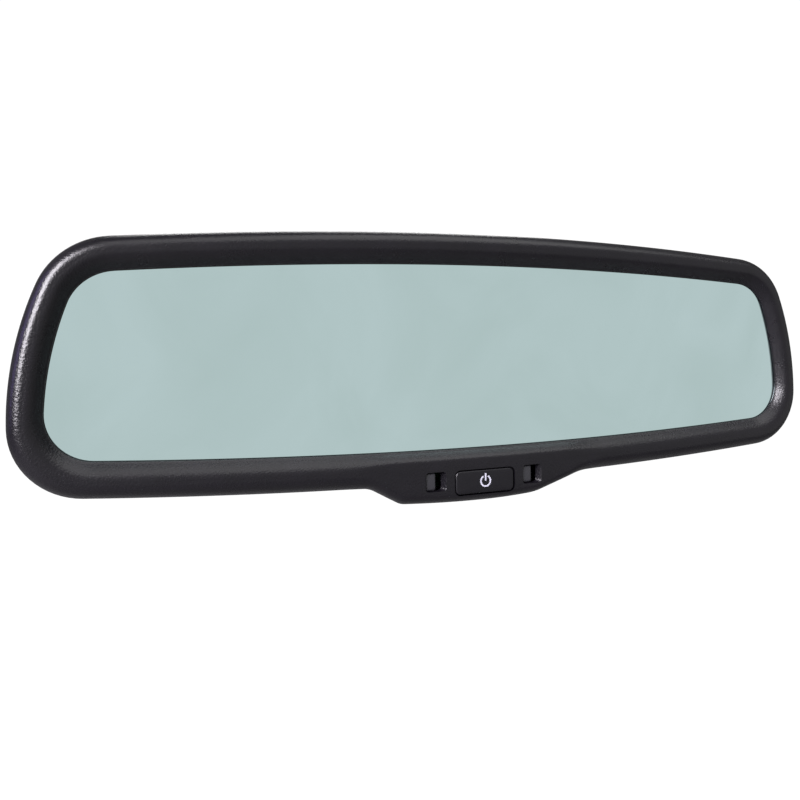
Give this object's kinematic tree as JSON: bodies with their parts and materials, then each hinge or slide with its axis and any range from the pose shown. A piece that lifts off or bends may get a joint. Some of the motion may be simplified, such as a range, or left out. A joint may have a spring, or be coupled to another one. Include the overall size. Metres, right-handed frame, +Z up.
{
  "type": "interior rearview mirror",
  "caption": "Interior self-dimming rearview mirror: rounded bezel with a chin button, on a two-ball stem with a windscreen foot.",
  "frame": {"origin": "centre of the windscreen button's bonded face", "axes": "+Z up, +X to the right of someone looking into the mirror, the glass faces -Y and the vehicle's nose is +Y"},
  "size_m": [0.2602, 0.1226, 0.0816],
  "materials": {
    "housing_plastic": "fine leather-like moulded grain, low sheen",
    "mirror_face": "pale greenish-blue dimming mirror face",
    "cell_gel": "clear gel, faint green",
    "seal": "grey epoxy seal",
    "silvered_glass": "silvered second surface",
    "spring_bronze": "thin bronze sheet",
    "foam": "closed-cell foam",
    "carrier_plastic": "plain moulded plastic",
    "board": "green solder mask",
    "screw_steel": "zinc-plated steel",
    "chip": "black moulded component",
    "button_plastic": "smooth satin black",
    "symbol_white": "white inlay",
    "led": "clear lamp body",
    "smoked_lens": "smoked clear plastic",
    "connector_plastic": "black connector body",
    "pin_brass": "tinned brass pins",
    "plated_steel": "zinc-plated sheet",
    "ball_steel": "polished steel ball",
    "nylon": "natural nylon",
    "stem_paint": "satin black coat",
    "cast_button": "sintered metal button"
  },
  "bodies": {
    "mount": {"windscreen_button": "cast_button", "mount_foot": "stem_paint", "set_screw": "screw_steel", "foot_ball_stud": "ball_steel"},
    "foot_ring": {"foot_seat_ring": "nylon"},
    "stem": {"stem_tube": "stem_paint", "stem_spring": "screw_steel", "foot_ball_cup": "nylon"},
    "head_cup": {"head_ball_cup": "nylon"},
    "head_ring": {"head_seat_ring": "nylon"},
    "head": {"bezel": "housing_plastic", "rear_housing": "housing_plastic", "front_glass": "mirror_face", "ec_gel": "cell_gel", "cell_seal": "seal", "rear_glass": "silvered_glass", "upper_bus_clip": "spring_bronze", "lower_bus_clip": "spring_bronze", "foam_pad": "foam", "mirror_carrier": "carrier_plastic", "circuit_board": "board", "board_screws": "screw_steel", "control_chip": "chip", "tact_switch": "chip", "indicator_led": "led", "indicator_lens": "smoked_lens", "glare_sensor": "chip", "glare_sensor_lens": "smoked_lens", "ambient_sensor": "chip", "ambient_sensor_lens": "smoked_lens", "wiring_socket": "connector_plastic", "socket_pins": "pin_brass", "pivot_plate": "plated_steel", "pivot_screws": "screw_steel", "head_ball_stud": "ball_steel"},
    "button": {"power_button": "button_plastic", "power_symbol": "symbol_white"},
    "plunger": {"switch_plunger": "chip"}
  },
  "joints": [
    {"name": "stem_yaw", "type": "hinge", "parent": "mount", "child": "foot_ring", "pos_m": [0, -0.024, -0.026], "axis": [0, 0, 1], "range_deg": [-20, 20]},
    {"name": "stem_pitch", "type": "hinge", "parent": "foot_ring", "child": "stem", "pos_m": [0, -0.024, -0.026], "axis": [1, 0, 0], "range_deg": [-20, 20]},
    {"name": "head_roll", "type": "hinge", "parent": "stem", "child": "head_cup", "pos_m": [0, -0.072, -0.026], "axis": [0, 1, 0], "range_deg": [-15, 15]},
    {"name": "head_pitch", "type": "hinge", "parent": "head_cup", "child": "head_ring", "pos_m": [0, -0.072, -0.026], "axis": [1, 0, 0], "range_deg": [-20, 20]},
    {"name": "head_yaw", "type": "hinge", "parent": "head_ring", "child": "head", "pos_m": [0, -0.072, -0.026], "axis": [0, 0, 1], "range_deg": [-20, 20]},
    {"name": "button_press", "type": "slide", "parent": "head", "child": "button", "axis": [0, 1, 0], "range_m": [0, 0.0005], "stiffness_N_per_m": 2500},
    {"name": "plunger_press", "type": "slide", "parent": "head", "child": "plunger", "axis": [0, 1, 0], "range_m": [0, 0.0006]}
  ],
  "couplings": [
    {"joint": "plunger_press", "follows": "button_press", "ratio": 1}
  ]
}
